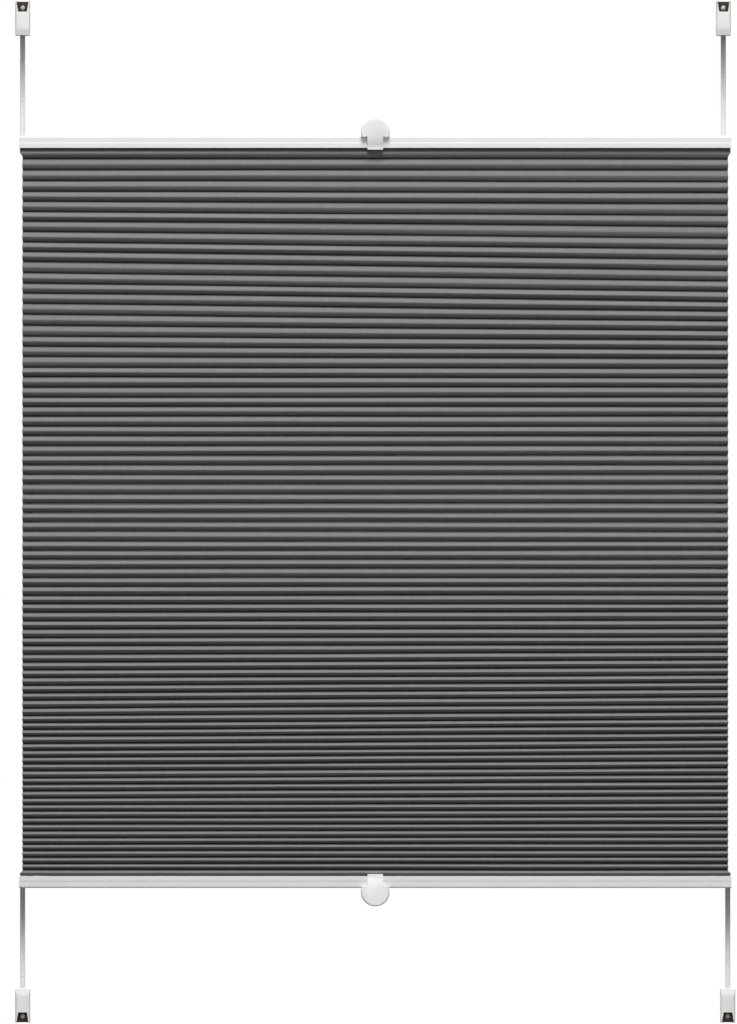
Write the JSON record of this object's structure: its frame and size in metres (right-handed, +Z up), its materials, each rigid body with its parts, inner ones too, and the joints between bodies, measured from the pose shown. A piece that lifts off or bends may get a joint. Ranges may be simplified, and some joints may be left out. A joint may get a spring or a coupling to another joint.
{
  "type": "pleated blind",
  "caption": "Tensioned honeycomb pleated blind with top and bottom rails on cords, clamped to a window sash at its corners.",
  "frame": {"origin": "middle of the blind's outline, on the room face of the window sash that it clamps to", "axes": "+X along the rails to the right as seen from the room, +Z up, +Y from the room towards the window"},
  "size_m": [0.92, 0.063, 1.3048],
  "materials": {
    "grey_fabric": "matte pleated nonwoven, silver foil inside",
    "grey_cord": "braided polyester",
    "white_aluminium": "white powder coat",
    "white_plastic": "moulded, satin",
    "handle_plastic": "moulded, smooth",
    "strip_plastic": "extruded",
    "anchor_plastic": "moulded",
    "clamp_steel": "dark bronze plating",
    "screw_steel": "bright zinc",
    "spring_steel": "bare spring wire",
    "rubber_pads": "matte"
  },
  "bodies": {
    "root": {"honeycomb_fabric": "grey_fabric", "tension_springs": "spring_steel", "cord_left_inner": "grey_cord", "cord_left_outer": "grey_cord", "cord_right_inner": "grey_cord", "cord_right_outer": "grey_cord", "top_left_shoe": "white_plastic", "top_left_clamp_bracket": "clamp_steel", "top_left_front_pad": "rubber_pads", "top_left_cord_anchor": "anchor_plastic", "top_right_shoe": "white_plastic", "top_right_clamp_bracket": "clamp_steel", "top_right_front_pad": "rubber_pads", "top_right_cord_anchor": "anchor_plastic", "bottom_left_shoe": "white_plastic", "bottom_left_clamp_bracket": "clamp_steel", "bottom_left_front_pad": "rubber_pads", "bottom_left_cord_anchor": "anchor_plastic", "bottom_right_shoe": "white_plastic", "bottom_right_clamp_bracket": "clamp_steel", "bottom_right_front_pad": "rubber_pads", "bottom_right_cord_anchor": "anchor_plastic"},
    "top_rail": {"top_rail_profile": "white_aluminium", "top_rail_fabric_strip": "strip_plastic", "top_rail_handle": "handle_plastic", "top_rail_left_cap": "white_plastic", "top_rail_right_cap": "white_plastic"},
    "bottom_rail": {"bottom_rail_profile": "white_aluminium", "bottom_rail_fabric_strip": "strip_plastic", "bottom_rail_handle": "handle_plastic", "bottom_rail_left_cap": "white_plastic", "bottom_rail_right_cap": "white_plastic"},
    "top_left_screw": {"top_left_clamp_screw": "screw_steel"},
    "top_left_jaw": {"top_left_rear_jaw": "clamp_steel", "top_left_rear_pad": "rubber_pads"},
    "top_right_screw": {"top_right_clamp_screw": "screw_steel"},
    "top_right_jaw": {"top_right_rear_jaw": "clamp_steel", "top_right_rear_pad": "rubber_pads"},
    "bottom_left_screw": {"bottom_left_clamp_screw": "screw_steel"},
    "bottom_left_jaw": {"bottom_left_rear_jaw": "clamp_steel", "bottom_left_rear_pad": "rubber_pads"},
    "bottom_right_screw": {"bottom_right_clamp_screw": "screw_steel"},
    "bottom_right_jaw": {"bottom_right_rear_jaw": "clamp_steel", "bottom_right_rear_pad": "rubber_pads"}
  },
  "joints": [
    {"name": "top_rail_slide", "type": "slide", "parent": "root", "child": "top_rail", "axis": [0, 0, 1], "range_m": [-0.41, 0.125], "deforming": ["honeycomb_fabric", "cord_left_inner", "cord_left_outer", "cord_right_inner", "cord_right_outer"]},
    {"name": "bottom_rail_slide", "type": "slide", "parent": "root", "child": "bottom_rail", "axis": [0, 0, 1], "range_m": [-0.125, 0.41], "deforming": ["honeycomb_fabric", "cord_left_inner", "cord_left_outer", "cord_right_inner", "cord_right_outer"]},
    {"name": "top_left_screw_turn", "type": "hinge", "parent": "root", "child": "top_left_screw", "pos_m": [-0.4506, 0, 0.6441], "axis": [0, 1, 0], "range_deg": [-2572, 2572]},
    {"name": "top_left_jaw_slide", "type": "slide", "parent": "root", "child": "top_left_jaw", "axis": [0, 1, 0], "range_m": [-0.005, 0.005]},
    {"name": "top_right_screw_turn", "type": "hinge", "parent": "root", "child": "top_right_screw", "pos_m": [0.4449, 0, 0.6441], "axis": [0, 1, 0], "range_deg": [-2572, 2572]},
    {"name": "top_right_jaw_slide", "type": "slide", "parent": "root", "child": "top_right_jaw", "axis": [0, 1, 0], "range_m": [-0.005, 0.005]},
    {"name": "bottom_left_screw_turn", "type": "hinge", "parent": "root", "child": "bottom_left_screw", "pos_m": [-0.4506, 0, -0.6441], "axis": [0, 1, 0], "range_deg": [-2572, 2572]},
    {"name": "bottom_left_jaw_slide", "type": "slide", "parent": "root", "child": "bottom_left_jaw", "axis": [0, 1, 0], "range_m": [-0.005, 0.005]},
    {"name": "bottom_right_screw_turn", "type": "hinge", "parent": "root", "child": "bottom_right_screw", "pos_m": [0.4506, 0, -0.6441], "axis": [0, 1, 0], "range_deg": [-2572, 2572]},
    {"name": "bottom_right_jaw_slide", "type": "slide", "parent": "root", "child": "bottom_right_jaw", "axis": [0, 1, 0], "range_m": [-0.005, 0.005]}
  ],
  "couplings": [
    {"joint": "top_left_screw_turn", "follows": "top_left_jaw_slide", "rad_per_m": -8976},
    {"joint": "top_right_screw_turn", "follows": "top_right_jaw_slide", "rad_per_m": -8976},
    {"joint": "bottom_left_screw_turn", "follows": "bottom_left_jaw_slide", "rad_per_m": -8976},
    {"joint": "bottom_right_screw_turn", "follows": "bottom_right_jaw_slide", "rad_per_m": -8976}
  ]
}
